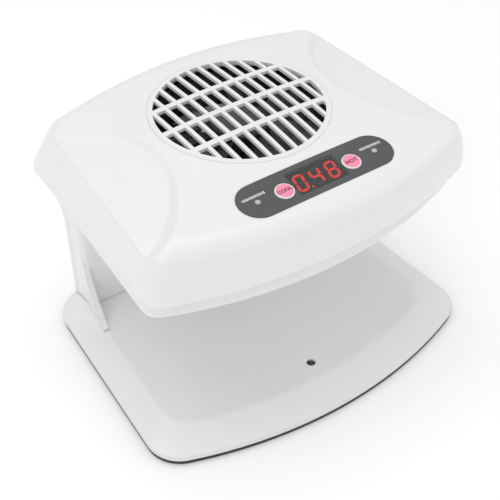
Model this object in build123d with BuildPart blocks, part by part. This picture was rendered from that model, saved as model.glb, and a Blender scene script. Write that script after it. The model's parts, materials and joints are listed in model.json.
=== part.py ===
"""Table-top fan nail dryer: a base plate, a rear column and a hood that blows cool or warm air down.

Frame: millimetres, +Z up, origin on the table under the middle of the object, the open mouth faces -Y.
"""

import os
from math import cos, radians, sin, tan

from build123d import *

os.makedirs("parts", exist_ok=True)

# ---- Driving dimensions ---------------------------------------------------------------------------
WALL = 2.4  # moulded wall of the white housings
GAP = 0.15  # gap between moulded parts of the housing
ORIGIN_Y = 0.6  # drawing position that becomes Y = 0 of the finished pieces

# Base, seen from above
BASE_HALF_FRONT, BASE_HALF_BACK = 129.5, 119.0
BASE_FRONT_Y, BASE_BACK_Y = -104.0, 98.5
BASE_FRONT_ARC = 305.0  # radius of the bowed front edge
BASE_CORNER, BASE_BACK_CORNER = 25.0, 31.0

FOOT_H, FOOT_D, FOOT_SINK = 1.0, 16.0, 1.0
PLATE_Z, PLATE_T = FOOT_H, 3.0
TRAY_Z = PLATE_Z + PLATE_T
TRAY_EDGE_Z = 7.0  # top of the upright edge
TRAY_RIM_Z = 13.0  # crest between the outer slope and the dished floor
TRAY_FLOOR_Z = 11.2
BAND_FRONT, BAND_SIDE, BAND_BACK = 23.0, 19.0, 1.0
DISH_W = 14.0

# Column: height, half width at the front, half width at the back, front face, back face
COLUMN = (
    (TRAY_Z, 100.2, 100.5, 70.0, 96.7),
    (76.0, 100.3, 100.8, 70.0, 96.8),
    (92.0, 101.0, 102.5, 68.5, 96.9),
    (106.0, 104.5, 106.0, 61.5, 97.0),
    (117.3, 111.0, 109.5, 51.0, 97.2),
)
COLUMN_FRONT_CORNER, COLUMN_BACK_CORNER = 4.5, 3.5
COLUMN_FRONT_Y = COLUMN[0][3]
REAR_SPLIT_Y = 88.0

# Side wings that sweep forward from the column to the tray: reach in front of the root and height
WING_X, WING_Y, WING_TURN, WING_T = 97.85, 75.0, 7.8, 4.4
WING_EDGE = ((41.0, 11.6), (33.3, 13.6), (23.2, 20.5), (12.6, 30.3), (4.8, 45.6), (0.5, 58.0))
WING_ROOT = -5.0

# Hood: height, half width front and back, front and back face, front and back corner, front and back arc
LIP = (
    (117.5, 120.8, 111.0, -86.7, 98.0, 12.0, 5.0, 280.0, 6000.0),
    (129.5, 118.3, 112.0, -82.3, 98.0, 13.0, 5.0, 280.0, 6000.0),
)
COVER = (
    (129.7, 122.5, 118.5, -89.5, 104.6, 14.0, 12.0, 340.0, 6000.0),
    (143.0, 122.5, 117.5, -92.0, 104.5, 14.0, 15.5, 310.0, 700.0),
    (186.0, 104.0, 83.5, -84.0, 108.0, 26.0, 14.0, 280.0, 290.0),
)
HOOD_Z, COVER_Z = LIP[0][0], COVER[0][0]
EDGE_R = 15.0
BELT_R = 6.5  # roll-in under the belt
RETURN = 9.0  # inward reach of the flange under the belt

# Crown of the top face: station along Y, height on the centre line, drop at CROWN_HALF
CROWN_HALF = 130.0
CROWN = (
    (119.0, 174.0, 11.0), (19.0, 179.3, 11.0), (-41.0, 176.0, 5.0), (-73.0, 171.6, 1.2),
    (-105.0, 166.6, 1.0),
)

# Side scoops in the top face
SCOOP_X, SCOOP_Y, SCOOP_R = 139.5, 10.0, 70.6
SCOOP_EDGE_X, SCOOP_EDGE_Z = 112.5, 164.0
SCOOP_SLOPE, SCOOP_DRAFT = 13.0, 60.0

# Air intake and outlet
FAN_Y = 20.5
GRILLE_R, GRILLE_OPEN_R, FLANGE_R = 59.5, 56.0, 63.0
SLOT_PITCH, SLOT_W = 8.96, 6.4
RIB_PITCH, RIB_W, RIB_SHIFT = 24.8, 4.2, 1.0
OUTLET_R = 53.8
DUCT_R = 55.0

# Fan
FAN_SIZE, FAN_H, FAN_Z = 120.0, 25.0, 143.0
FAN_HOLE = 52.5
FAN_BORE_R = 57.0
HUB_R = 20.0
BLADES = 7
SHAFT_R = 1.5

# Control panel, in its own tilted plane on the top face
PANEL_X, PANEL_Y, PANEL_Z, PANEL_TILT = 0.6, -61.0, 173.2, 7.6
PANEL_L, PANEL_W = 112.6, 27.6
PANEL_UP, PANEL_DOWN = 0.3, 0.5  # stands above and lies below the top face
BUTTON_X, BUTTON_Y, BUTTON_D = 25.1, -1.8, 12.5
BUTTON_FACE_D = 10.9
BUTTON_UP = 1.0
BUTTON_HOLE_D = BUTTON_D + 0.6
LAMP_X, LAMP_Y, LAMP_D = 43.8, -1.0, 3.6
DISPLAY_L, DISPLAY_W = 36.0, 19.4
BOARD_W = -11.0  # top of the control board below the panel
DIGIT_H, DIGIT_W, DIGIT_PITCH, SEGMENT_W = 14.2, 8.0, 11.8, 1.9

# Finger sensor, mains inlet, power board
SENSOR_Y = -65.8
INLET_X, INLET_Z = 62.0, 26.0
PIN_PITCH, PIN_R = 8.6, 1.2
POWER_Y, POWER_Z = 84.0, 36.0
POWER_L, POWER_H = 130.0, 66.0


def finish(piece, name):
    """Centres a finished piece front to back, labels it and writes its STEP file."""
    piece = piece.moved(Location((0, -ORIGIN_Y, 0)))
    piece.label = name
    export_step(piece, f"parts/{name}.step")
    print(f"{name:26s} solids {len(piece.solids()):3d}  volume {piece.volume:10.1f}  valid {piece.is_valid}")


# ---- Shared shapes --------------------------------------------------------------------------------
def plan_outline(section, arc, front_corner, back_corner, inset=0.0, back_arc=6000.0):
    """Outline seen from above: bowed front and back, straight sides, rounded corners."""
    z, half_front, half_back, front_y, back_y = section
    half_front, half_back = half_front - inset, half_back - inset
    front_y, back_y = front_y + inset, back_y - inset
    corner_y = front_y + half_front**2 / (2 * arc)
    rear_y = back_y - half_back**2 / (2 * back_arc)
    with BuildSketch(Plane.XY.offset(z)) as outline:
        with BuildLine():
            ThreePointArc((-half_front, corner_y), (0, front_y), (half_front, corner_y))
            Line((half_front, corner_y), (half_back, rear_y))
            ThreePointArc((half_back, rear_y), (0, back_y), (-half_back, rear_y))
            Line((-half_back, rear_y), (-half_front, corner_y))
        make_face()
        fillet(outline.vertices().sort_by(Axis.Y)[:2], front_corner - inset)
        fillet(outline.vertices().sort_by(Axis.Y)[-2:], back_corner - inset)
    return outline.sketch


def base_outline(z, inset=0.0):
    section = (z, BASE_HALF_FRONT, BASE_HALF_BACK, BASE_FRONT_Y, BASE_BACK_Y)
    return plan_outline(section, BASE_FRONT_ARC, BASE_CORNER, BASE_BACK_CORNER, inset)


def rim_outline(z, inset=0.0):
    """Crest line of the tray."""
    section = (
        z,
        BASE_HALF_FRONT - BAND_SIDE,
        BASE_HALF_BACK - BAND_SIDE,
        BASE_FRONT_Y + BAND_FRONT,
        BASE_BACK_Y - BAND_BACK,
    )
    return plan_outline(section, BASE_FRONT_ARC, BASE_CORNER, BASE_CORNER - 3, inset)


def tray_form(inset):
    """Outer form of the tray, or with an inset its hollow."""
    top = TRAY_RIM_Z if inset == 0 else TRAY_FLOOR_Z - inset
    edge = TRAY_EDGE_Z - inset / 3
    with BuildPart() as form:
        add(base_outline(TRAY_Z, inset))
        extrude(amount=edge - TRAY_Z)
        add(base_outline(edge, inset))
        add(rim_outline(top, inset * 2))
        loft(ruled=True)
    return form.part


def column_outline(section, inset=0.0):
    return plan_outline(section, 4000.0, COLUMN_FRONT_CORNER, COLUMN_BACK_CORNER, inset)


def column_form(inset):
    """Upright column that flares out into the hood."""
    with BuildPart() as form:
        for section in COLUMN[:2]:
            add(column_outline(section, inset))
        loft(ruled=True)
        for section in COLUMN[1:]:
            add(column_outline(section, inset))
        loft()
    return form.part


def hood_section(section, inset=0.0):
    *sizes, front_corner, back_corner, front_arc, back_arc = section
    return plan_outline(sizes, front_arc, front_corner, back_corner, inset, back_arc)


def crown_body(lower_by):
    """Everything under the crowned top face, lowered by a wall thickness."""
    with BuildPart() as body:
        for y, height, drop in CROWN:
            edge = height - drop - lower_by
            with BuildSketch(Plane.XZ.offset(-y)):
                with BuildLine():
                    ThreePointArc((-CROWN_HALF, edge), (0, height - lower_by), (CROWN_HALF, edge))
                    Polyline((CROWN_HALF, edge), (CROWN_HALF, 0), (-CROWN_HALF, 0), (-CROWN_HALF, edge))
                make_face()
        loft()
    return body.part


def cover_form(inset):
    """Outer form of the top cover, or with an inset its hollow."""
    with BuildPart() as form:
        for z, *sizes in COVER:
            add(hood_section((z + inset if z == COVER_Z else z, *sizes), inset))
        loft()
        add(crown_body(inset), mode=Mode.INTERSECT)
        fillet(form.faces().sort_by(Axis.Z)[-1].edges(), EDGE_R - inset)
        fillet(form.faces().sort_by(Axis.Z)[0].edges(), BELT_R - inset)
        for side in (-1, 1):
            tilt = radians(SCOOP_SLOPE)
            seat = Plane(
                origin=(side * (SCOOP_EDGE_X - inset * sin(tilt)), SCOOP_Y, SCOOP_EDGE_Z - inset * cos(tilt)),
                x_dir=(cos(tilt), 0, -side * sin(tilt)),
                z_dir=(side * sin(tilt), 0, cos(tilt)),
            )
            reach = 30.0
            across = side * (SCOOP_X - SCOOP_EDGE_X) / cos(tilt)
            with Locations(seat.location * Location((across, 0, 0))):
                Cone(
                    SCOOP_R + inset,
                    SCOOP_R + inset + reach * tan(radians(SCOOP_DRAFT)),
                    reach,
                    align=(Align.CENTER, Align.CENTER, Align.MIN),
                    mode=Mode.SUBTRACT,
                )
    return form.part


def post(x, y, z, radius, height, mode=Mode.ADD):
    """Upright cylinder standing on height z."""
    with Locations((x, y, z)):
        Cylinder(radius, height, align=(Align.CENTER, Align.CENTER, Align.MIN), mode=mode)


def rear_pin(x, y, z, radius, length, mode=Mode.ADD):
    """Cylinder along +Y that starts at y."""
    with Locations(Plane(origin=(x, y, z), x_dir=(1, 0, 0), z_dir=(0, 1, 0))):
        Cylinder(radius, length, align=(Align.CENTER, Align.CENTER, Align.MIN), mode=mode)


def screw(x, y, z, shank_r, length, head_r, head_h, up=True):
    """Screw whose head sits on height z; the shank runs up, or down when up is False."""
    if up:
        post(x, y, z - head_h, head_r, head_h)
        post(x, y, z, shank_r, length)
    else:
        post(x, y, z, head_r, head_h)
        post(x, y, z - length, shank_r, length)


PANEL = Plane(
    origin=(PANEL_X, PANEL_Y, PANEL_Z),
    x_dir=(1, 0, 0),
    z_dir=(0, -sin(radians(PANEL_TILT)), cos(radians(PANEL_TILT))),
)


def panel_disc(x, y, w, radius, height, mode=Mode.ADD):
    """Cylinder square to the control panel, standing on local height w."""
    with BuildSketch(PANEL.offset(w)) as disc:
        with Locations((x, y)):
            Circle(radius)
    extrude(disc.sketch, amount=height, mode=mode)


def panel_block(x, y, w, length, width, height, mode=Mode.ADD):
    with BuildSketch(PANEL.offset(w)) as block:
        with Locations((x, y)):
            Rectangle(length, width)
    extrude(block.sketch, amount=height, mode=mode)


# ---- Base -----------------------------------------------------------------------------------------
BASE_SCREWS = ((-96, -40), (96, -40), (-88, 40), (88, 40))
COLUMN_FOOT_SCREWS = ((-60, 82), (60, 82))
FEET = ((-98, -68), (98, -68), (-92, 72), (92, 72))

with BuildPart() as base_plate:
    add(base_outline(PLATE_Z, 0.3))
    extrude(amount=PLATE_T)
    for x, y in FEET:
        post(x, y, PLATE_Z, FOOT_D / 2, FOOT_SINK, mode=Mode.SUBTRACT)
    for x, y in BASE_SCREWS + COLUMN_FOOT_SCREWS:
        post(x, y, PLATE_Z, 1.6, PLATE_T, mode=Mode.SUBTRACT)
        post(x, y, PLATE_Z, 3.1, 1.4, mode=Mode.SUBTRACT)
    with Locations((0, 0, PLATE_Z + PLATE_T)):
        for y in (-40.0, 0.0, 40.0):
            with Locations((0, y, 0)):
                Box(150, 1.6, 3.0, align=(Align.CENTER, Align.CENTER, Align.MIN))
        with Locations((0, 0, 0)):
            Box(8, 130, 4.0, align=(Align.CENTER, Align.CENTER, Align.MIN), mode=Mode.SUBTRACT)
finish(base_plate.part, "base_plate")

for number, (x, y) in enumerate(FEET, start=1):
    with BuildPart() as foot:
        post(x, y, 0, FOOT_D / 2 - 0.1, FOOT_H + FOOT_SINK)
        fillet(foot.edges().sort_by(Axis.Z)[:1], 0.6)
    finish(foot.part, f"rubber_foot_{number}")

with BuildPart() as tray_solid:
    add(tray_form(0))
    add(rim_outline(TRAY_RIM_Z, 1.5))
    add(rim_outline(TRAY_FLOOR_Z, DISH_W))
    loft(ruled=True, mode=Mode.SUBTRACT)

with BuildPart() as tray:
    add(tray_solid.part)
    add(tray_form(WALL), mode=Mode.SUBTRACT)
    for x, y in BASE_SCREWS:
        post(x, y, TRAY_Z, 3.4, TRAY_FLOOR_Z - TRAY_Z - 1.0)
        post(x, y, TRAY_Z, 1.45, TRAY_FLOOR_Z - TRAY_Z - 2.0, mode=Mode.SUBTRACT)
    add(column_outline((0, *COLUMN[0][1:]), -GAP))
    extrude(amount=30, mode=Mode.SUBTRACT)
    post(0, SENSOR_Y, TRAY_Z, 3.2, 20, mode=Mode.SUBTRACT)
finish(tray.part, "base_tray")

with BuildPart() as base_screws:
    for x, y in BASE_SCREWS + COLUMN_FOOT_SCREWS:
        screw(x, y, PLATE_Z + 1.4, 1.4, 6.4, 2.8, 1.3)
        with Locations((x, y, PLATE_Z + 0.1)):
            Box(3.2, 0.8, 0.7, align=(Align.CENTER, Align.CENTER, Align.MIN), mode=Mode.SUBTRACT)
            Box(0.8, 3.2, 0.7, align=(Align.CENTER, Align.CENTER, Align.MIN), mode=Mode.SUBTRACT)
finish(base_screws.part, "base_screws")

with BuildPart() as sensor_board:
    with Locations((0, SENSOR_Y, TRAY_Z)):
        Box(22, 14, 1.0, align=(Align.CENTER, Align.CENTER, Align.MIN))
    with Locations((-7, SENSOR_Y, TRAY_Z + 1.0), (7, SENSOR_Y, TRAY_Z + 1.0)):
        Box(2.0, 1.25, 0.6, align=(Align.CENTER, Align.CENTER, Align.MIN))
finish(sensor_board.part, "sensor_board")

with BuildPart() as sensor_receiver:
    post(0, SENSOR_Y, TRAY_Z + 1.0, 2.9, 1.0)
    post(0, SENSOR_Y, TRAY_Z + 2.0, 2.5, TRAY_FLOOR_Z - TRAY_Z - 4.8)
    with Locations((0, SENSOR_Y, TRAY_FLOOR_Z - 2.8)):
        Sphere(2.5)
finish(sensor_receiver.part, "sensor_receiver")

# ---- Column ---------------------------------------------------------------------------------------
COLUMN_SCREWS = ((-86, 76), (86, 76))
REAR_SCREWS = ((-80, 60), (80, 60))

column_outer = column_form(0)
column_inner = column_form(WALL)

with BuildPart() as side_wings:
    for side in (-1, 1):
        turn = radians(WING_TURN)
        forward = (side * sin(turn), -cos(turn), 0)
        across = (-cos(turn), -side * sin(turn), 0)
        with BuildSketch(Plane(origin=(side * WING_X, WING_Y, 0), x_dir=forward, z_dir=across)) as profile:
            with BuildLine():
                Spline(*WING_EDGE)
                Polyline(
                    WING_EDGE[-1], (WING_ROOT, WING_EDGE[-1][1]), (WING_ROOT, TRAY_Z),
                    (WING_EDGE[0][0], TRAY_Z), WING_EDGE[0],
                )
            make_face()
        extrude(profile.sketch, amount=WING_T / 2, both=True)
    add(tray_solid.part, mode=Mode.SUBTRACT)

with BuildPart() as column_shell:
    add(column_outer)
    add(side_wings.part)
    add(column_inner, mode=Mode.SUBTRACT)
    for x, y in COLUMN_SCREWS:
        post(x, y, 62, 4.2, 117.3 - 62)
        post(x, y, 90, 1.7, 30, mode=Mode.SUBTRACT)
    for x, y in COLUMN_FOOT_SCREWS:
        post(x, y, TRAY_Z, 3.4, 14)
        with Locations((x, COLUMN_FRONT_Y + 1.0, TRAY_Z)):
            Box(2.0, y - COLUMN_FRONT_Y - 1.0, 14, align=(Align.CENTER, Align.MIN, Align.MIN))
        post(x, y, TRAY_Z, 1.45, 12, mode=Mode.SUBTRACT)
    with Locations((0, REAR_SPLIT_Y, 0)):
        Box(400, 100, 400, align=(Align.CENTER, Align.MIN, Align.CENTER), mode=Mode.SUBTRACT)
    with Locations((0, COLUMN_FRONT_Y, TRAY_Z)):
        Box(8, 10, 4.6, align=(Align.CENTER, Align.CENTER, Align.MIN), mode=Mode.SUBTRACT)
    for x, z in REAR_SCREWS:
        rear_pin(x, 71.0, z, 3.6, 22.8)
        rear_pin(x, 76.0, z, 1.35, 20, mode=Mode.SUBTRACT)
finish(column_shell.part, "column_shell")

POWER_POSTS = tuple((x, z) for x in (-58, 58) for z in (POWER_Z + 7, POWER_Z + POWER_H - 7))

with BuildPart() as rear_cover:
    add(column_outer)
    add(column_inner, mode=Mode.SUBTRACT)
    with Locations((0, REAR_SPLIT_Y + GAP, 0)):
        Box(400, 100, 400, align=(Align.CENTER, Align.MAX, Align.CENTER), mode=Mode.SUBTRACT)
    for x, z in POWER_POSTS:
        rear_pin(x, POWER_Y + 1.6, z, 3.2, 10.2)
        rear_pin(x, POWER_Y + 1.6, z, 1.2, 7.0, mode=Mode.SUBTRACT)
    with Locations((INLET_X, 96.0, INLET_Z)):
        Box(24.4, 12, 12.4, mode=Mode.SUBTRACT)
    for row in range(6):
        with Locations((-18, 97.0, 84.0 + 4.2 * row)):
            Box(52, 12, 1.8, mode=Mode.SUBTRACT)
    for x, z in REAR_SCREWS:
        rear_pin(x, 92.0, z, 1.7, 10, mode=Mode.SUBTRACT)
        rear_pin(x, 95.6, z, 3.2, 10, mode=Mode.SUBTRACT)
finish(rear_cover.part, "rear_cover")

with BuildPart() as rear_screws:
    for x, z in REAR_SCREWS:
        rear_pin(x, 79.0, z, 1.3, 16.6)
        rear_pin(x, 95.6, z, 2.8, 1.0)
        with Locations((x, 96.4, z)):
            Box(3.2, 0.8, 0.8, mode=Mode.SUBTRACT)
            Box(0.8, 0.8, 3.2, mode=Mode.SUBTRACT)
finish(rear_screws.part, "rear_screws")

# ---- Mains inlet ----------------------------------------------------------------------------------
with BuildPart() as inlet_socket:
    with Locations((INLET_X, 99.0, INLET_Z)):
        Box(24, 20, 12, align=(Align.CENTER, Align.MAX, Align.CENTER))
    with Locations((INLET_X, 97.2, INLET_Z)):
        Box(29, 1.8, 17, align=(Align.CENTER, Align.MIN, Align.CENTER))
    with BuildSketch(Plane(origin=(INLET_X, 99.0, INLET_Z), x_dir=(1, 0, 0), z_dir=(0, -1, 0))):
        SlotCenterToCenter(PIN_PITCH - 1.0, 8.4)
    extrude(amount=12.0, mode=Mode.SUBTRACT)
finish(inlet_socket.part, "inlet_socket")

with BuildPart() as inlet_pins:
    for side in (-1, 1):
        x = INLET_X + side * PIN_PITCH / 2
        rear_pin(x, 87.0, INLET_Z, PIN_R, 9.2)
        with Locations((x, 79.0, INLET_Z)):
            Box(1.6, 3.5, 3.2, align=(Align.CENTER, Align.MAX, Align.CENTER))
finish(inlet_pins.part, "inlet_pins")

# ---- Power board ----------------------------------------------------------------------------------
with BuildPart() as power_board:
    with Locations((0, POWER_Y, POWER_Z)):
        Box(POWER_L - 40, 1.6, POWER_H, align=(Align.CENTER, Align.MIN, Align.MIN))
    for x, z in POWER_POSTS:
        with Locations((x * 0.85, POWER_Y, z)):
            Box(34, 1.6, 13.9, align=(Align.CENTER, Align.MIN, Align.CENTER))
    for x, z in POWER_POSTS:
        rear_pin(x, POWER_Y - 1, z, 1.5, 5, mode=Mode.SUBTRACT)
finish(power_board.part, "power_board")

with BuildPart() as power_screws:
    for x, z in POWER_POSTS:
        rear_pin(x, POWER_Y - 1.6, z, 2.6, 1.6)
        rear_pin(x, POWER_Y, z, 1.15, 7.0)
finish(power_screws.part, "power_board_screws")


def on_board(x, z, length, height, depth):
    """Box on the front face of the power board."""
    with Locations((x, POWER_Y, z)):
        Box(length, depth, height, align=(Align.CENTER, Align.MAX, Align.CENTER))


with BuildPart() as transformer:
    on_board(-18, POWER_Z + 26, 22, 26, 1.6)
    on_board(-18, POWER_Z + 26, 18, 20, 11)
    on_board(-18, POWER_Z + 26, 22, 12, 9)
finish(transformer.part, "power_transformer")

with BuildPart() as relay:
    on_board(16, POWER_Z + 44, 19, 15, 10.5)
finish(relay.part, "heater_relay")

with BuildPart() as capacitor:
    with Locations((16, POWER_Y - 5.4, POWER_Z + 14)):
        Cylinder(5.2, 18)
    fillet(capacitor.edges().filter_by(GeomType.CIRCLE), 0.8)
finish(capacitor.part, "power_capacitor")

with BuildPart() as terminals:
    on_board(34, POWER_Z + 26, 9, 30, 8)
    for row in range(6):
        with Locations((34, POWER_Y - 8, POWER_Z + 13.5 + 5 * row)):
            Box(5, 3, 3, mode=Mode.SUBTRACT)
finish(terminals.part, "terminal_block")

# ---- Hood, lower shell ----------------------------------------------------------------------------
HOOD_SCREWS = ((-98, -48), (98, -48), (-90, 60), (90, 60))
FAN_CORNERS = tuple((sx * FAN_HOLE, FAN_Y + sy * FAN_HOLE) for sx in (-1, 1) for sy in (-1, 1))

with BuildPart() as lower_shell:
    for section in LIP:
        add(hood_section(section))
    loft(ruled=True)
    fillet(lower_shell.edges().group_by(Axis.Z)[0], 2.5)
    for section in ((HOOD_Z + WALL, *LIP[0][1:]), (LIP[1][0] + 1, *LIP[1][1:])):
        add(hood_section(section, WALL))
    loft(ruled=True, mode=Mode.SUBTRACT)
    for x, y in FAN_CORNERS:
        post(x, y, HOOD_Z + 1, 4.5, FAN_Z - HOOD_Z - 1)
        post(x, y, FAN_Z - 12, 1.75, 13, mode=Mode.SUBTRACT)
    for x, y in HOOD_SCREWS:
        post(x, y, HOOD_Z + 1, 4.6, 8)
        post(x, y, HOOD_Z - 1, 1.75, 14, mode=Mode.SUBTRACT)
        post(x, y, HOOD_Z - 1, 3.4, 5, mode=Mode.SUBTRACT)
    for x, y in COLUMN_SCREWS:
        post(x, y, HOOD_Z - 1, 1.75, 5, mode=Mode.SUBTRACT)
    post(0, FAN_Y, HOOD_Z - 1, OUTLET_R + 0.2, 5, mode=Mode.SUBTRACT)
    post(0, SENSOR_Y, HOOD_Z - 1, 2.7, 5, mode=Mode.SUBTRACT)
    with Locations((0, 86, HOOD_Z)):
        Box(150, 12, 10, mode=Mode.SUBTRACT)
finish(lower_shell.part, "hood_lower_shell")

with BuildPart() as hood_screws:
    for x, y in HOOD_SCREWS:
        screw(x, y, HOOD_Z + 4.0, 1.6, 16, 2.9, 1.8)
        with Locations((x, y, HOOD_Z + 2.2)):
            Box(3.2, 0.8, 1.0, align=(Align.CENTER, Align.CENTER, Align.MIN), mode=Mode.SUBTRACT)
            Box(0.8, 3.2, 1.0, align=(Align.CENTER, Align.CENTER, Align.MIN), mode=Mode.SUBTRACT)
finish(hood_screws.part, "hood_screws")

with BuildPart() as column_screws:
    for x, y in COLUMN_SCREWS:
        screw(x, y, HOOD_Z + WALL, 1.6, 18, 3.0, 2.0, up=False)
finish(column_screws.part, "column_screws")


def slots(radius, width, pitch, rib_pitch, rib_width, shift, z, height):
    """Rows of slots inside a circle: long bars along Y crossed by ribs."""
    with BuildSketch(Plane.XY.offset(z)) as cut:
        with Locations((0, FAN_Y)):
            Circle(radius)
        count = int(radius / pitch) + 1
        for index in range(-count, count):
            with Locations(((index + 0.5) * pitch, FAN_Y)):
                Rectangle(pitch - width, 4 * radius, mode=Mode.SUBTRACT)
        for index in (-1, 0, 1):
            with Locations((0, FAN_Y + shift + index * rib_pitch)):
                Rectangle(4 * radius, rib_width, mode=Mode.SUBTRACT)
    extrude(cut.sketch, amount=height, mode=Mode.SUBTRACT)


with BuildPart() as outlet_grille:
    post(0, FAN_Y, HOOD_Z + 0.3, OUTLET_R, 2.1)
    post(0, FAN_Y, HOOD_Z + 2.4, OUTLET_R + 2.6, 1.2)
    post(0, FAN_Y, HOOD_Z + 2.4, OUTLET_R - 2.0, 1.2, mode=Mode.SUBTRACT)
    slots(OUTLET_R - 3, 6.2, 9.0, 24.8, 4.0, 0.0, HOOD_Z - 1, 6)
finish(outlet_grille.part, "outlet_grille")

with BuildPart() as sensor_emitter:
    post(0, SENSOR_Y, HOOD_Z + WALL, 3.0, 1.0)
    post(0, SENSOR_Y, HOOD_Z, 2.5, WALL)
    with Locations((0, SENSOR_Y, HOOD_Z)):
        Sphere(2.5, arc_size1=-90, arc_size2=0)
finish(sensor_emitter.part, "sensor_emitter")

# ---- Heater ---------------------------------------------------------------------------------------
HEATER_Z = 132.0
RINGS = (18.0, 27.0, 36.0, 45.0)
WIRE_R = 0.7

with BuildPart() as air_duct:
    post(0, FAN_Y, HOOD_Z + 3.8, DUCT_R + 1.6, FAN_Z - HOOD_Z - 3.9)
    post(0, FAN_Y, HOOD_Z + 3.8, DUCT_R, FAN_Z - HOOD_Z - 3.9, mode=Mode.SUBTRACT)
finish(air_duct.part, "air_duct")

with BuildPart() as heater_coil:
    with Locations((0, FAN_Y, HEATER_Z)):
        for radius in RINGS:
            Torus(radius, WIRE_R)
    for inner, outer, turn in ((0, 1, 20), (1, 2, 110), (2, 3, 200)):
        middle = (RINGS[inner] + RINGS[outer]) / 2
        x, y = middle * cos(radians(turn)), middle * sin(radians(turn))
        with Locations(Location((x, FAN_Y + y, HEATER_Z), (0, 0, turn))):
            Box(RINGS[outer] - RINGS[inner], 1.2, 1.2)
finish(heater_coil.part, "heater_coil")

with BuildPart() as heater_frame:
    for turn in (45, 135):
        with Locations(Location((0, FAN_Y, HEATER_Z), (0, 0, turn))):
            Box(2 * DUCT_R - 0.4, 0.8, 13)
    with Locations((0, FAN_Y, HEATER_Z)):
        for radius in RINGS:
            Torus(radius, WIRE_R + 0.1, mode=Mode.SUBTRACT)
finish(heater_frame.part, "heater_frame")

with BuildPart() as thermal_cutout:
    with Locations(Location((0, FAN_Y + 40.5, HEATER_Z + 4.5))):
        Box(12, 5, 4)
    with Locations(Location((0, FAN_Y + 40.5, HEATER_Z + 4.5))):
        Box(22, 1.0, 0.6)
finish(thermal_cutout.part, "thermal_cutout")

# ---- Fan ------------------------------------------------------------------------------------------
FAN_TOP = FAN_Z + FAN_H

with BuildPart() as fan_frame:
    for z in (FAN_Z, FAN_TOP - 4.0):
        with BuildSketch(Plane.XY.offset(z)):
            with Locations((0, FAN_Y)):
                RectangleRounded(FAN_SIZE, FAN_SIZE, 7.0)
        extrude(amount=4.0)
    post(0, FAN_Y, FAN_Z, FAN_SIZE / 2, FAN_H)
    post(0, FAN_Y, FAN_Z, FAN_BORE_R, FAN_H, mode=Mode.SUBTRACT)
    for x, y in FAN_CORNERS:
        post(x, y, FAN_Z, 2.2, FAN_H, mode=Mode.SUBTRACT)
    for turn in (30, 120, 210, 300):
        with Locations(Location((0, FAN_Y, FAN_Z + 1.75), (0, 0, turn))):
            with Locations((38.5, 0, 0)):
                Box(39, 4.0, 3.5)
    post(0, FAN_Y, FAN_Z, 21.0, 3.0)
    post(0, FAN_Y, FAN_Z + 3.0, 5.5, 12.0)
    post(0, FAN_Y, FAN_Z + 1.5, 4.0, 14.0, mode=Mode.SUBTRACT)
finish(fan_frame.part, "fan_frame")

with BuildPart() as fan_bearing:
    post(0, FAN_Y, FAN_Z + 1.5, 4.0, 13.5)
    post(0, FAN_Y, FAN_Z + 2.5, SHAFT_R + 0.06, 13.0, mode=Mode.SUBTRACT)
finish(fan_bearing.part, "fan_bearing")

with BuildPart() as fan_stator:
    post(0, FAN_Y, FAN_Z + 4.0, 8.0, 9.0)
    for index in range(4):
        with Locations(Location((0, FAN_Y, FAN_Z + 8.5), (0, 0, 45 + 90 * index))):
            with Locations((9.5, 0, 0)):
                Box(7, 5, 7)
            with Locations((13.2, 0, 0)):
                Box(2.2, 13, 7)
    with BuildSketch(Plane.XY.offset(FAN_Z + 3)):
        with Locations((0, FAN_Y)):
            Circle(14.4)
    extrude(amount=12, mode=Mode.INTERSECT)
    post(0, FAN_Y, FAN_Z + 3.0, 5.5, 12.0, mode=Mode.SUBTRACT)
finish(fan_stator.part, "fan_stator")


def blade_section(radius, pitch, chord):
    """Arched profile of a blade in the plane square to the radius."""
    plane = Plane(origin=(radius, FAN_Y, FAN_Z + 13.2), x_dir=(0, 1, 0), z_dir=(1, 0, 0))
    with BuildSketch(plane) as profile:
        with BuildLine():
            ThreePointArc((-chord / 2, 0), (0, chord * 0.10), (chord / 2, 0))
            ThreePointArc((chord / 2, 0), (0, chord * 0.10 - 1.5), (-chord / 2, 0))
        make_face()
    return profile.sketch.rotate(Axis((radius, FAN_Y, FAN_Z + 13.2), (1, 0, 0)), pitch)


with BuildPart() as fan_blade:
    add(blade_section(18.5, 48, 22))
    add(blade_section(37.0, 36, 30))
    add(blade_section(56.5, 26, 38))
    loft()

with BuildPart() as fan_impeller:
    post(0, FAN_Y, FAN_Z + 4.6, HUB_R, FAN_H - 5.6)
    fillet(fan_impeller.edges().group_by(Axis.Z)[-1], 2.0)
    for index in range(BLADES):
        add(fan_blade.part.rotate(Axis((0, FAN_Y, 0), (0, 0, 1)), 360 / BLADES * index))
    post(0, FAN_Y, FAN_Z + 4.0, 17.6, FAN_H - 7.0, mode=Mode.SUBTRACT)
    with BuildSketch(Plane.XY.offset(FAN_Z + 4.2)):
        with Locations((0, FAN_Y)):
            Circle(FAN_BORE_R - 1.2)
    extrude(amount=FAN_H - 5.0, mode=Mode.INTERSECT)
finish(fan_impeller.part, "fan_impeller")

with BuildPart() as fan_magnet:
    post(0, FAN_Y, FAN_Z + 5.0, 17.5, 9.0)
    post(0, FAN_Y, FAN_Z + 5.0, 15.8, 9.0, mode=Mode.SUBTRACT)
finish(fan_magnet.part, "fan_magnet")

with BuildPart() as fan_shaft:
    post(0, FAN_Y, FAN_Z + 3.0, SHAFT_R, FAN_H - 6.0)
    post(0, FAN_Y, FAN_Z + 16.4, 4.0, FAN_H - 19.4)
finish(fan_shaft.part, "fan_shaft")

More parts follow.
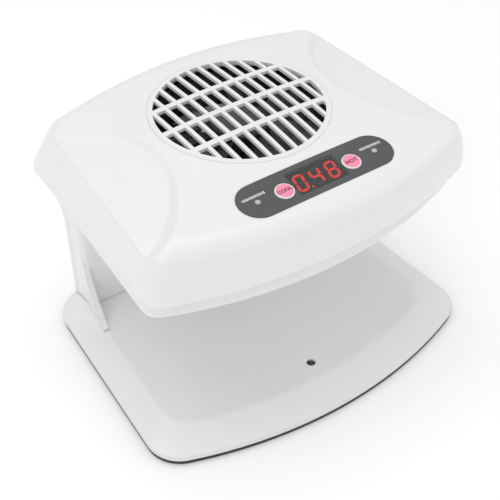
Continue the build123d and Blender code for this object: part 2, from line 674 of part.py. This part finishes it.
with BuildPart() as fan_screws:
    for x, y in FAN_CORNERS:
        screw(x, y, FAN_TOP, 1.65, 34, 3.6, 2.2, up=False)
        with Locations((x, y, FAN_TOP + 1.2)):
            Box(4.0, 0.9, 1.0, align=(Align.CENTER, Align.CENTER, Align.MIN), mode=Mode.SUBTRACT)
            Box(0.9, 4.0, 1.0, align=(Align.CENTER, Align.CENTER, Align.MIN), mode=Mode.SUBTRACT)
finish(fan_screws.part, "fan_screws")

# ---- Hood, top cover ------------------------------------------------------------------------------
cover_outer = cover_form(0)
cover_inner = cover_form(WALL)
crown_top = crown_body(0)
PANEL_SCREWS = ((-52, -7), (52, -7), (-52, 7), (52, 7))


def panel_shell(length, width, down, up, holes):
    """Part of a thin sheet that follows the top face inside a stadium outline."""
    with BuildPart() as sheet:
        with BuildSketch(PANEL.offset(-8)):
            if length > width * 2:
                SlotOverall(length, width)
            else:
                RectangleRounded(length, width, 1.0)
        extrude(amount=16)
        add(crown_body(-up), mode=Mode.INTERSECT)
        add(crown_body(down), mode=Mode.SUBTRACT)
        for x, y, diameter in holes:
            panel_disc(x, y, -8, diameter / 2, 16, mode=Mode.SUBTRACT)
    return sheet.part


BUTTON_HOLES = tuple((side * BUTTON_X, BUTTON_Y, BUTTON_HOLE_D) for side in (-1, 1))
LAMP_HOLES = tuple((side * LAMP_X, LAMP_Y, LAMP_D + 0.1) for side in (-1, 1))

with BuildPart() as cover_bosses:
    for x, y in HOOD_SCREWS:
        post(x, y, HOOD_Z + 9.1, 4.2, 50)
        side = 1 if x > 0 else -1
        with Locations((x + side * 10, y, HOOD_Z + 16)):
            Box(20, 2.0, 40, align=(Align.CENTER, Align.CENTER, Align.MIN))
    add(cover_form(WALL / 2), mode=Mode.INTERSECT)

with BuildPart() as top_cover:
    add(cover_outer)
    add(cover_inner, mode=Mode.SUBTRACT)
    add(hood_section((COVER_Z - 1, *COVER[0][1:]), RETURN))
    extrude(amount=WALL + 4, mode=Mode.SUBTRACT)
    add(cover_bosses.part)
    for x, y in HOOD_SCREWS:
        post(x, y, HOOD_Z + 9.1, 4.2, 12.0)
        post(x, y, HOOD_Z + 9.0, 1.65, 13, mode=Mode.SUBTRACT)
    for x, y in PANEL_SCREWS:
        panel_disc(x, y, BOARD_W, 2.6, -BOARD_W - 1.0)
        panel_disc(x, y, BOARD_W, 1.1, 7.0, mode=Mode.SUBTRACT)
    post(0, FAN_Y, 160, GRILLE_R + 0.05, 30, mode=Mode.SUBTRACT)
    add(panel_shell(PANEL_L + 0.3, PANEL_W + 0.3, PANEL_DOWN, 3.0, ()), mode=Mode.SUBTRACT)
    for x, y, diameter in BUTTON_HOLES + LAMP_HOLES:
        panel_disc(x, y, -8, diameter / 2, 12, mode=Mode.SUBTRACT)
    panel_block(0, 0, -6, DISPLAY_L + 0.4, DISPLAY_W + 0.4, 10, mode=Mode.SUBTRACT)
finish(top_cover.part, "hood_cover")

with BuildPart() as intake_grille:
    post(0, FAN_Y, 150, GRILLE_R, 40)
    add(crown_top, mode=Mode.INTERSECT)
    add(crown_body(WALL), mode=Mode.SUBTRACT)
    with BuildPart(mode=Mode.PRIVATE) as flange:
        post(0, FAN_Y, 150, FLANGE_R, 40)
        post(0, FAN_Y, 150, GRILLE_OPEN_R + 0.5, 40, mode=Mode.SUBTRACT)
        add(crown_body(WALL + GAP), mode=Mode.INTERSECT)
        add(crown_body(WALL + GAP + 1.5), mode=Mode.SUBTRACT)
    with BuildPart(mode=Mode.PRIVATE) as collar:
        post(0, FAN_Y, 150, GRILLE_R, 40)
        post(0, FAN_Y, 150, GRILLE_OPEN_R + 0.5, 40, mode=Mode.SUBTRACT)
        add(crown_body(WALL - 0.5), mode=Mode.INTERSECT)
        add(crown_body(WALL + GAP + 1.5), mode=Mode.SUBTRACT)
    add(flange.part)
    add(collar.part)
    slots(GRILLE_OPEN_R, SLOT_W, SLOT_PITCH, RIB_PITCH, RIB_W, RIB_SHIFT, 150, 40)
finish(intake_grille.part, "intake_grille")

# ---- Control panel --------------------------------------------------------------------------------
with BuildPart() as control_overlay:
    add(panel_shell(PANEL_L, PANEL_W, PANEL_DOWN, PANEL_UP, BUTTON_HOLES + LAMP_HOLES))
    panel_block(0, 0, -6, DISPLAY_L, DISPLAY_W, 12, mode=Mode.SUBTRACT)
finish(control_overlay.part, "control_overlay")

finish(panel_shell(DISPLAY_L - 0.1, DISPLAY_W - 0.1, PANEL_DOWN, PANEL_UP, ()), "display_lens")

for name, side in (("cool", -1), ("hot", 1)):
    with BuildPart() as button_cap:
        x = side * BUTTON_X
        panel_disc(x, BUTTON_Y, -6.0, BUTTON_D / 2, 6.0 + BUTTON_UP)
        fillet(button_cap.edges().group_by(Axis.Z)[-1], 0.5)
        panel_disc(x, BUTTON_Y, -4.0, BUTTON_HOLE_D / 2 + 0.6, 1.0)
        panel_disc(x, BUTTON_Y, -8.0, 1.7, 2.2)
        panel_disc(x, BUTTON_Y, BUTTON_UP - 1.0, BUTTON_FACE_D / 2, 3.0, mode=Mode.SUBTRACT)
    finish(button_cap.part, f"{name}_button_cap")

    with BuildPart() as button_face:
        panel_disc(x, BUTTON_Y, BUTTON_UP - 1.0, BUTTON_FACE_D / 2 - 0.02, 1.1)
        fillet(button_face.edges().group_by(Axis.Z)[-1], 0.3)
    finish(button_face.part, f"{name}_button_face")

    with BuildPart() as key_switch:
        panel_block(x, BUTTON_Y, BOARD_W, 6.2, 6.2, 3.2)
        panel_disc(x, BUTTON_Y, BOARD_W + 1.8, 2.2, 3.0, mode=Mode.SUBTRACT)
    finish(key_switch.part, f"{name}_key_switch")

    with BuildPart() as lamp:
        panel_disc(side * LAMP_X, LAMP_Y, BOARD_W + 1.0, LAMP_D / 2, -BOARD_W - 1.0 + 0.5)
        fillet(lamp.edges().group_by(Axis.Z)[-1], 0.3)
    finish(lamp.part, f"{name}_lamp")

with BuildPart() as lamp_chips:
    for side in (-1, 1):
        panel_block(side * LAMP_X, LAMP_Y, BOARD_W, 3.0, 2.0, 0.9)
finish(lamp_chips.part, "lamp_chips")

with BuildPart() as control_board:
    panel_block(0, 0, BOARD_W - 1.6, 112, 24, 1.6)
    for x, y in PANEL_SCREWS:
        panel_disc(x, y, BOARD_W - 2, 1.3, 3, mode=Mode.SUBTRACT)
finish(control_board.part, "control_board")

with BuildPart() as panel_screws:
    for x, y in PANEL_SCREWS:
        panel_disc(x, y, BOARD_W - 3.2, 2.3, 1.6)
        panel_disc(x, y, BOARD_W - 1.6, 1.05, 7.0)
finish(panel_screws.part, "control_board_screws")

with BuildPart() as controller:
    panel_block(-10, 0, BOARD_W - 3.4, 10, 7, 1.8)
    for side in (-1, 1):
        panel_block(-10, side * 4.2, BOARD_W - 3.0, 8.6, 1.6, 1.2)
finish(controller.part, "controller_chip")

with BuildPart() as display_module:
    panel_block(0, 0, BOARD_W, DISPLAY_L - 0.9, DISPLAY_W - 0.4, -BOARD_W - 1.1)
finish(display_module.part, "display_module")

SLANT = tan(radians(9))
BARS = {
    "a": ((-1, 1), (1, 1)),
    "b": ((1, 1), (1, 0)),
    "c": ((1, 0), (1, -1)),
    "d": ((-1, -1), (1, -1)),
    "e": ((-1, 0), (-1, -1)),
    "f": ((-1, 1), (-1, 0)),
    "g": ((-1, 0), (1, 0)),
}
SHOWN = ("abcdef", "bcfg", "abcdefg")  # 0 4 8


def bar(centre, ends):
    """One six-sided bar of a slanted seven-segment digit."""
    half_w, half_h, half_t = (DIGIT_W - SEGMENT_W) / 2, (DIGIT_H - SEGMENT_W) / 2, SEGMENT_W / 2
    (x0, y0), (x1, y1) = ((u * half_w, v * half_h) for u, v in ends)
    if y0 == y1:
        shape = ((x0, y0), (x0 + half_t, y0 + half_t), (x1 - half_t, y0 + half_t))
        shape += ((x1, y0), (x1 - half_t, y0 - half_t), (x0 + half_t, y0 - half_t))
    else:
        shape = ((x0, y0), (x0 + half_t, y0 - half_t), (x0 + half_t, y1 + half_t))
        shape += ((x0, y1), (x0 - half_t, y1 + half_t), (x0 - half_t, y0 - half_t))
    middle = (sum(x for x, _ in shape) / 6, sum(y for _, y in shape) / 6)
    shrunk = [(middle[0] + (x - middle[0]) * 0.93, middle[1] + (y - middle[1]) * 0.93) for x, y in shape]
    with BuildSketch(PANEL.offset(-1.1)) as face:
        with BuildLine():
            Polyline(*[(centre + x + y * SLANT, y) for x, y in shrunk], close=True)
        make_face()
    extrude(face.sketch, amount=0.2)


for lit in (True, False):
    with BuildPart() as segments:
        for index, shown in enumerate(SHOWN):
            centre = (index - 1) * DIGIT_PITCH
            for letter, ends in BARS.items():
                if (letter in shown) == lit:
                    bar(centre, ends)
            if (index == 0) == lit:
                panel_disc(centre + DIGIT_W / 2 + 0.9, -DIGIT_H / 2 + 0.9, -1.1, 0.75, 0.2)
    finish(segments.part, "display_segments_lit" if lit else "display_segments_dark")

# ---- Wiring ---------------------------------------------------------------------------------------
def cable(name, radius, *points):
    """Round cable through the given points."""
    with BuildPart() as run:
        with BuildLine() as path:
            Spline(*points)
        with BuildSketch(Plane(origin=path.line @ 0, z_dir=path.line % 0)):
            Circle(radius)
        sweep()
    finish(run.part, name)


cable(
    "fan_cable", 1.6, (40.6, 79, 70), (46, 79.5, 90), (46, 82.5, 108), (44, 85.5, 124), (40, 84, 134),
    (36, 83.4, 146),
)
cable(
    "panel_cable", 1.4, (40.4, 79, 58), (60, 77, 76), (66, 82.5, 105), (66, 85, 124), (71, 74, 132),
    (75, 20, 136), (72, -40, 142), (50, -52, 157.5),
)
cable("mains_cable", 1.4, (62, 75.0, 28.6), (54, 74.6, 33), (45, 76, 42), (40.2, 79, 50))
cable(
    "sensor_cable", 0.9, (0, SENSOR_Y + 7.2, 5.4), (0, -20, 5.4), (0, 40, 5.4), (0, 66, 5.5),
    (0.6, 74, 6.0), (4, 77.4, 9), (10, 78.6, 17), (18, 79, 30), (26, 79, 44),
)
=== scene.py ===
"""Looks of the fan nail dryer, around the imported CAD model. Metres, in the part's own frame."""

import json
from math import cos, pi, radians, sin

import bmesh
import bpy
from mathutils import Matrix, Vector
from mathutils.bvhtree import BVHTree


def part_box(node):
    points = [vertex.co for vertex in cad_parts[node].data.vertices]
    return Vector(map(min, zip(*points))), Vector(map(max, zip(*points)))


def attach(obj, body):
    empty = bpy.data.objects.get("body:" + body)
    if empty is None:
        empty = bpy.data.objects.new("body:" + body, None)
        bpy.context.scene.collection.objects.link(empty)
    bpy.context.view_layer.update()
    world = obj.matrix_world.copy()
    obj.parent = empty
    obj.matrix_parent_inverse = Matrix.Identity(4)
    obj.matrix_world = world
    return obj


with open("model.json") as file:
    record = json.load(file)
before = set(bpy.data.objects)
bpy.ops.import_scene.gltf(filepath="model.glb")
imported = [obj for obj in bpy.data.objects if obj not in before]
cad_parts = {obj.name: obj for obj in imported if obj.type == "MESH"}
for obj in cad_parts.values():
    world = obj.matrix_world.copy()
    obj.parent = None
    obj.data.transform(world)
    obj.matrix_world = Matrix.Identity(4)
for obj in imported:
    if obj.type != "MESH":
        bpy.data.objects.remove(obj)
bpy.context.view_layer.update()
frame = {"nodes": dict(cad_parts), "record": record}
NODES = frame["nodes"]
SCENE = bpy.context.scene
MM = 0.001

# Shared by all materials: depth of the grain in metres, and how edges and clear coats are shaded
GRAIN_DEPTH = 0.00006
ROUNDING_SAMPLES = 8
COAT_ROUGH = 0.12

# Control panel: its lean to the front, its centre, and the marks on it in millimetres from there
PANEL_TILT = radians(7.6)
PANEL_ORIGIN = Vector((0.6, -61.6, 173.2)) * MM
PANEL_NORMAL = Vector((0, -sin(PANEL_TILT), cos(PANEL_TILT)))
PANEL_UP = Vector((0, cos(PANEL_TILT), sin(PANEL_TILT)))
BUTTON_X, BUTTON_Y = 25.1, -1.8
LAMP_X, LAMP_Y = 43.8, -1.0
LABEL_RISE = 4.8  # from a lamp up to the label above it
LABEL_W, LABEL_H, LABEL_STROKES = 16.5, 2.1, 11
MARK_LIFT, LABEL_LIFT = 0.05, 0.03
ABOVE_PANEL = 12.0  # clear of everything on the panel

# Fan hub: its axis, and the sticker on it in millimetres
FAN_AXIS = (0.0, 0.0199)
STICKER_R, STICKER_T, STICKER_BEVEL = 15.5, 0.15, 0.05
DISC_SIDES = 64

# Stage, light and camera
FLOOR_HALF = 6.0
FLOOR_GLOW = 0.12
WORLD_STRENGTH = 0.6
SOFTBOXES = {  # place, point that it faces, size in metres, power in watts
    "overhead": ((-0.2, 0.3, 1.9), (0, 0, 0.1), 1.6, 12.0),
    "key_left": ((-1.4, -0.7, 1.2), (0, 0, 0.1), 1.2, 5.0),
    "fill_right": ((1.5, -0.9, 0.9), (0, 0, 0.08), 1.2, 4.5),
}
CAMERA_PLACE = (-0.3203, -0.4562, 0.5687)
AZIMUTH, ELEVATION, ROLL = radians(-34.594), radians(41.959), radians(-0.176)
SENSOR_W, FOCAL_LENGTH = 36.0, 77.0688


# ---- Materials -----------------------------------------------------------------------------------
def new_material(name):
    """Material with its node tree and its main shader node."""
    material = bpy.data.materials.new(name)
    material.use_nodes = True
    tree = material.node_tree
    return material, tree, tree.nodes["Principled BSDF"]


def noise(tree, scale, detail=3.0, stretch=(1, 1, 1)):
    """Noise in object coordinates; scale is in waves per metre."""
    coords = tree.nodes.new("ShaderNodeTexCoord")
    mapping = tree.nodes.new("ShaderNodeMapping")
    mapping.inputs["Scale"].default_value = stretch
    texture = tree.nodes.new("ShaderNodeTexNoise")
    texture.inputs["Scale"].default_value = scale
    texture.inputs["Detail"].default_value = detail
    tree.links.new(coords.outputs["Object"], mapping.inputs["Vector"])
    tree.links.new(mapping.outputs["Vector"], texture.inputs["Vector"])
    return texture.outputs["Fac"]


def spread(tree, value, low, high):
    """Eases the middle of a noise value's range out to the range low to high."""
    node = tree.nodes.new("ShaderNodeMapRange")
    node.interpolation_type = "SMOOTHSTEP"
    node.inputs["From Min"].default_value = 0.2
    node.inputs["From Max"].default_value = 0.8
    node.inputs["To Min"].default_value = low
    node.inputs["To Max"].default_value = high
    tree.links.new(value, node.inputs["Value"])
    return node.outputs["Result"]


def blend_colours(tree, factor, dark, light):
    """Colour between dark and light, by a factor from 0 to 1."""
    node = tree.nodes.new("ShaderNodeMix")
    node.data_type = "RGBA"
    node.inputs["A"].default_value = (*dark, 1)
    node.inputs["B"].default_value = (*light, 1)
    tree.links.new(factor, node.inputs["Factor"])
    return node.outputs["Result"]


def surface(
    name, colour, rough, swing=0.04, patch=25.0, tone=0.03, grain=1800.0, bump=0.05, metal=0.0,
    coat=0.0, stretch=(1, 1, 1), alpha=1.0, soften=0.0,
):
    """Moulded or metal surface: tone and gloss vary in patches, over a fine grain.

    patch and grain are in waves per metre, tone is a share of the colour, swing is the reach of the
    roughness to each side, and soften is the radius of the shading on sharp edges, in metres.
    """
    material, tree, shader = new_material(name)
    dark = tuple(c * (1 - tone) for c in colour)
    light = tuple(min(1.0, c * (1 + tone)) for c in colour)
    patches = noise(tree, patch, 1.5)
    hue = blend_colours(tree, spread(tree, patches, 0, 1), dark, light)
    gloss = spread(tree, patches, rough - swing, rough + swing)
    tree.links.new(hue, shader.inputs["Base Color"])
    tree.links.new(gloss, shader.inputs["Roughness"])
    bumps = tree.nodes.new("ShaderNodeBump")
    bumps.inputs["Strength"].default_value = bump
    bumps.inputs["Distance"].default_value = GRAIN_DEPTH
    tree.links.new(noise(tree, grain, 2.0, stretch), bumps.inputs["Height"])
    if soften:
        rounding = tree.nodes.new("ShaderNodeBevel")
        rounding.samples = ROUNDING_SAMPLES
        rounding.inputs["Radius"].default_value = soften
        tree.links.new(rounding.outputs["Normal"], bumps.inputs["Normal"])
    tree.links.new(bumps.outputs["Normal"], shader.inputs["Normal"])
    shader.inputs["Metallic"].default_value = metal
    shader.inputs["Coat Weight"].default_value = coat
    shader.inputs["Coat Roughness"].default_value = COAT_ROUGH
    shader.inputs["Alpha"].default_value = alpha
    return material


def glowing(name, colour, strength):
    """Lit display bar: a diffusing cap that is a little brighter in places."""
    material, tree, shader = new_material(name)
    patches = noise(tree, 900.0, 2.0)
    dark = tuple(c * 0.85 for c in colour)
    hue = blend_colours(tree, spread(tree, patches, 0, 1), dark, colour)
    tree.links.new(hue, shader.inputs["Base Color"])
    tree.links.new(hue, shader.inputs["Emission Color"])
    tree.links.new(spread(tree, patches, 0.3, 0.45), shader.inputs["Roughness"])
    shader.inputs["Emission Strength"].default_value = strength
    return material


LOOKS = {
    "white_shell": dict(
        colour=(0.86, 0.862, 0.86), rough=0.32, swing=0.03, tone=0.005, bump=0.05, coat=0.1,
        soften=0.002,
    ),
    "white_grille": dict(colour=(0.85, 0.852, 0.85), rough=0.36, swing=0.03, tone=0.006, bump=0.06),
    "base_black": dict(
        colour=(0.02, 0.02, 0.021), rough=0.55, swing=0.08, grain=1500, bump=0.4, tone=0.2,
    ),
    "foot_rubber": dict(
        colour=(0.03, 0.03, 0.03), rough=0.8, swing=0.06, grain=2500, bump=0.5, tone=0.2,
    ),
    "screw_steel": dict(
        colour=(0.55, 0.55, 0.56), rough=0.32, swing=0.08, metal=1, grain=3000, stretch=(1, 1, 8),
    ),
    "circuit_board": dict(
        colour=(0.012, 0.13, 0.045), rough=0.35, swing=0.05, patch=300, tone=0.25, coat=0.4,
    ),
    "sensor_dark": dict(
        colour=(0.03, 0.008, 0.014), rough=0.12, swing=0.04, patch=400, tone=0.3, coat=0.5,
    ),
    "inlet_plastic": dict(
        colour=(0.02, 0.02, 0.02), rough=0.5, swing=0.06, grain=2200, bump=0.3, tone=0.2,
    ),
    "pin_brass": dict(
        colour=(0.75, 0.55, 0.22), rough=0.25, swing=0.08, metal=1, patch=300, tone=0.1,
    ),
    "display_face": dict(
        colour=(0.07, 0.076, 0.072), rough=0.4, swing=0.05, patch=400, tone=0.06, bump=0.1,
    ),
    "component_black": dict(
        colour=(0.022, 0.022, 0.024), rough=0.5, swing=0.06, patch=200, tone=0.2, bump=0.3,
    ),
    "transformer_yellow": dict(
        colour=(0.7, 0.45, 0.06), rough=0.4, swing=0.06, patch=150, tone=0.15,
    ),
    "capacitor_sleeve": dict(
        colour=(0.015, 0.02, 0.08), rough=0.3, swing=0.05, patch=200, tone=0.2,
    ),
    "terminal_green": dict(colour=(0.03, 0.25, 0.07), rough=0.45, swing=0.05, patch=200, tone=0.15),
    "duct_metal": dict(
        colour=(0.55, 0.55, 0.53), rough=0.35, swing=0.1, metal=1, grain=900, stretch=(1, 1, 14),
    ),
    "coil_wire": dict(
        colour=(0.32, 0.22, 0.16), rough=0.4, swing=0.1, metal=1, patch=120, tone=0.35,
    ),
    "mica": dict(
        colour=(0.45, 0.36, 0.24), rough=0.35, swing=0.1, patch=220, tone=0.25, bump=0.3, coat=0.3,
    ),
    "cutout_metal": dict(
        colour=(0.6, 0.6, 0.6), rough=0.3, swing=0.08, metal=1, patch=300, tone=0.1,
    ),
    "fan_black": dict(
        colour=(0.03, 0.031, 0.033), rough=0.42, swing=0.07, grain=1600, bump=0.25, tone=0.12,
    ),
    "stator_copper": dict(
        colour=(0.5, 0.16, 0.05), rough=0.3, swing=0.08, metal=0.8, grain=2600, bump=0.6,
    ),
    "magnet_dark": dict(
        colour=(0.04, 0.035, 0.035), rough=0.6, swing=0.06, grain=2000, bump=0.4, tone=0.2,
    ),
    "shaft_steel": dict(
        colour=(0.6, 0.6, 0.62), rough=0.2, swing=0.06, metal=1, patch=300, tone=0.08,
    ),
    "panel_grey": dict(
        colour=(0.082, 0.087, 0.09), rough=0.42, swing=0.05, grain=3200, bump=0.12, tone=0.05,
    ),
    "lens_smoke": dict(
        colour=(0.075, 0.085, 0.08), rough=0.12, swing=0.03, tone=0.05, bump=0.02, alpha=0.3,
    ),
    "button_white": dict(
        colour=(0.87, 0.87, 0.87), rough=0.22, swing=0.04, tone=0.01, bump=0.03, coat=0.2,
    ),
    "button_pink": dict(
        colour=(1.0, 0.3, 0.44), rough=0.26, swing=0.04, patch=120, tone=0.03, bump=0.04, coat=0.2,
    ),
    "lamp_clear": dict(
        colour=(0.5, 0.51, 0.52), rough=0.25, swing=0.05, patch=400, tone=0.08, coat=0.3,
    ),
    "segment_dark": dict(colour=(0.14, 0.14, 0.135), rough=0.4, swing=0.05, patch=500, tone=0.08),
    "cable_black": dict(
        colour=(0.02, 0.02, 0.02), rough=0.55, swing=0.06, grain=2400, bump=0.3, tone=0.15,
    ),
}
SLOTS = {name: surface(name, **look) for name, look in LOOKS.items()}
SLOTS["segment_red"] = glowing("segment_red", (0.9, 0.035, 0.03), 1.1)

INK = dict(swing=0.05, patch=900, grain=5000, bump=0.1)
PRINT_WHITE = surface("print_white", (0.72, 0.73, 0.73), 0.5, tone=0.08, **INK)
PRINT_ROSE = surface("print_rose", (0.16, 0.02, 0.05), 0.45, tone=0.1, **INK)
STICKER = surface(
    "hub_sticker", (0.12, 0.122, 0.125), 0.4, swing=0.05, patch=500, tone=0.05, bump=0.1,
)

for entry in frame["record"]["subparts"]:
    node = NODES[entry["node"]]
    node.data.materials.clear()
    node.data.materials.append(SLOTS[entry["material_slot"]])


# ---- Printed marks on the panel ------------------------------------------------------------------
def panel_point(x, y, w):
    """Point of the control panel's own plane, in millimetres along it and above it."""
    return PANEL_ORIGIN + Vector((x * MM, 0, 0)) + PANEL_UP * (y * MM) + PANEL_NORMAL * (w * MM)


def lay_on(mesh, node, lift):
    """Drops a flat mark, drawn in panel millimetres, onto a CAD node; z is its height there."""
    below = NODES[node].data
    target = BVHTree.FromPolygons(
        [v.co for v in below.vertices], [p.vertices for p in below.polygons]
    )
    for vertex in mesh.vertices:
        x, y, z = vertex.co
        start = panel_point(x, y, ABOVE_PANEL)
        hit = target.ray_cast(start, -PANEL_NORMAL)[0] or target.find_nearest(start)[0]
        vertex.co = hit + PANEL_NORMAL * ((z + lift) * MM)


def add_piece(name, mesh, material, body):
    """Puts a mesh in the scene as a piece that rides on a body."""
    piece = bpy.data.objects.new(name, mesh)
    SCENE.collection.objects.link(piece)
    mesh.materials.clear()
    mesh.materials.append(material)
    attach(piece, body)
    return piece


def lettering(word, size, x, y):
    """Flat, slightly raised letters centred on a point of the panel."""
    curve = bpy.data.curves.new(word, "FONT")
    curve.body = word
    curve.size = size
    curve.align_x = "CENTER"
    curve.align_y = "CENTER"
    curve.extrude = 0.04
    curve.offset = 0.09
    curve.space_character = 1.05
    curve.resolution_u = 4
    holder = bpy.data.objects.new(word, curve)
    SCENE.collection.objects.link(holder)
    bpy.context.view_layer.update()
    depsgraph = bpy.context.evaluated_depsgraph_get()
    mesh = bpy.data.meshes.new_from_object(holder.evaluated_get(depsgraph))
    bpy.data.objects.remove(holder)
    bpy.data.curves.remove(curve)
    mesh.transform(Matrix.Translation((x, y, 0)))
    return mesh


KEYS = (("COOL", 3.5, "cool_button", -BUTTON_X), ("HOT", 3.9, "hot_button", BUTTON_X))
for word, size, body, x in KEYS:
    mark = lettering(word, size, x, BUTTON_Y)
    lay_on(mark, f"{body}_face", MARK_LIFT)
    add_piece(f"{body}_mark", mark, PRINT_ROSE, body)


def strokes(x, y, count, width, height, inked=0.62, short=0.82, thick=0.08):
    """Row of upright print strokes in place of a word; every third one is a little shorter."""
    mesh = bpy.data.meshes.new("strokes")
    work = bmesh.new()
    pitch = width / count
    for index in range(count):
        left = x - width / 2 + index * pitch
        tall = height * (1.0 if index % 3 else short)
        for vertex in bmesh.ops.create_cube(work, size=1.0)["verts"]:
            across, along, above = vertex.co
            vertex.co = Vector(
                (left + pitch * (0.5 + across * inked), y + tall * along, above * thick)
            )
    work.to_mesh(mesh)
    work.free()
    return mesh


for name, x in (("lamp_print_left", -LAMP_X), ("lamp_print_right", LAMP_X)):
    label = strokes(x, LAMP_Y + LABEL_RISE, LABEL_STROKES, LABEL_W, LABEL_H)
    lay_on(label, "control_overlay", LABEL_LIFT)
    add_piece(name, label, PRINT_WHITE, "housing")


# ---- Round sticker on the fan hub ----------------------------------------------------------------
def disc(radius, centre, height, bevel):
    """Round plate with a softened rim."""
    mesh = bpy.data.meshes.new("disc")
    work = bmesh.new()
    angles = [2 * pi * i / DISC_SIDES for i in range(DISC_SIDES)]
    profile = (
        (radius, 0), (radius, height - bevel), (radius - bevel, height), (radius / 2, height)
    )
    rings = [
        [work.verts.new(centre + Vector((reach * cos(a), reach * sin(a), z))) for a in angles]
        for reach, z in profile
    ]
    for lower, upper in zip(rings, rings[1:]):
        for i in range(DISC_SIDES):
            j = (i + 1) % DISC_SIDES
            work.faces.new((lower[i], lower[j], upper[j], upper[i]))
    work.faces.new(rings[-1])
    work.faces.new(tuple(reversed(rings[0])))
    work.to_mesh(mesh)
    work.free()
    for polygon in mesh.polygons:
        polygon.use_smooth = True
    return mesh


hub_top = Vector((*FAN_AXIS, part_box("fan_impeller")[1].z))
sticker = disc(STICKER_R * MM, hub_top, STICKER_T * MM, STICKER_BEVEL * MM)
add_piece("hub_sticker", sticker, STICKER, "fan_rotor")


# ---- Stage, light and camera ---------------------------------------------------------------------
floor_mesh = bpy.data.meshes.new("floor")
corners = [(x * FLOOR_HALF, y * FLOOR_HALF, 0) for x, y in ((-1, -1), (1, -1), (1, 1), (-1, 1))]
floor_mesh.from_pydata(corners, [], [(0, 1, 2, 3)])
floor = bpy.data.objects.new("floor", floor_mesh)
SCENE.collection.objects.link(floor)
backdrop = surface("floor", (0.93, 0.93, 0.93), 0.8, 0.05, patch=3, tone=0.004, bump=0.0)
backdrop_shader = backdrop.node_tree.nodes["Principled BSDF"]
backdrop_shader.inputs["Emission Color"].default_value = (1, 1, 1, 1)
backdrop_shader.inputs["Emission Strength"].default_value = FLOOR_GLOW
floor_mesh.materials.append(backdrop)

world = bpy.data.worlds.new("studio")
SCENE.world = world
world.use_nodes = True
sky = world.node_tree.nodes["Background"]
sky.inputs["Color"].default_value = (1.0, 1.0, 1.0, 1)
sky.inputs["Strength"].default_value = WORLD_STRENGTH


def softbox(name, place, target, size, power):
    """Square area light that faces a point."""
    data = bpy.data.lights.new(name, "AREA")
    data.shape = "SQUARE"
    data.size = size
    data.energy = power
    light = bpy.data.objects.new(name, data)
    light.location = place
    aim = Vector(target) - Vector(place)
    light.rotation_euler = aim.to_track_quat("-Z", "Y").to_euler()
    SCENE.collection.objects.link(light)


for name, settings in SOFTBOXES.items():
    softbox(name, *settings)

camera_data = bpy.data.cameras.new("camera")
camera_data.sensor_width = SENSOR_W
camera_data.lens = FOCAL_LENGTH
camera_data.clip_start = 0.01
camera = bpy.data.objects.new("camera", camera_data)
right = Vector((cos(AZIMUTH), sin(AZIMUTH), 0))
back = Vector(
    (sin(AZIMUTH) * cos(ELEVATION), -cos(AZIMUTH) * cos(ELEVATION), sin(ELEVATION))
)
up = back.cross(right)
turn = Matrix((right, up, back)).transposed() @ Matrix.Rotation(ROLL, 3, "Z")
camera.matrix_world = Matrix.Translation(CAMERA_PLACE) @ turn.to_4x4()
SCENE.collection.objects.link(camera)
SCENE.camera = camera
SCENE.view_settings.view_transform = "Standard"
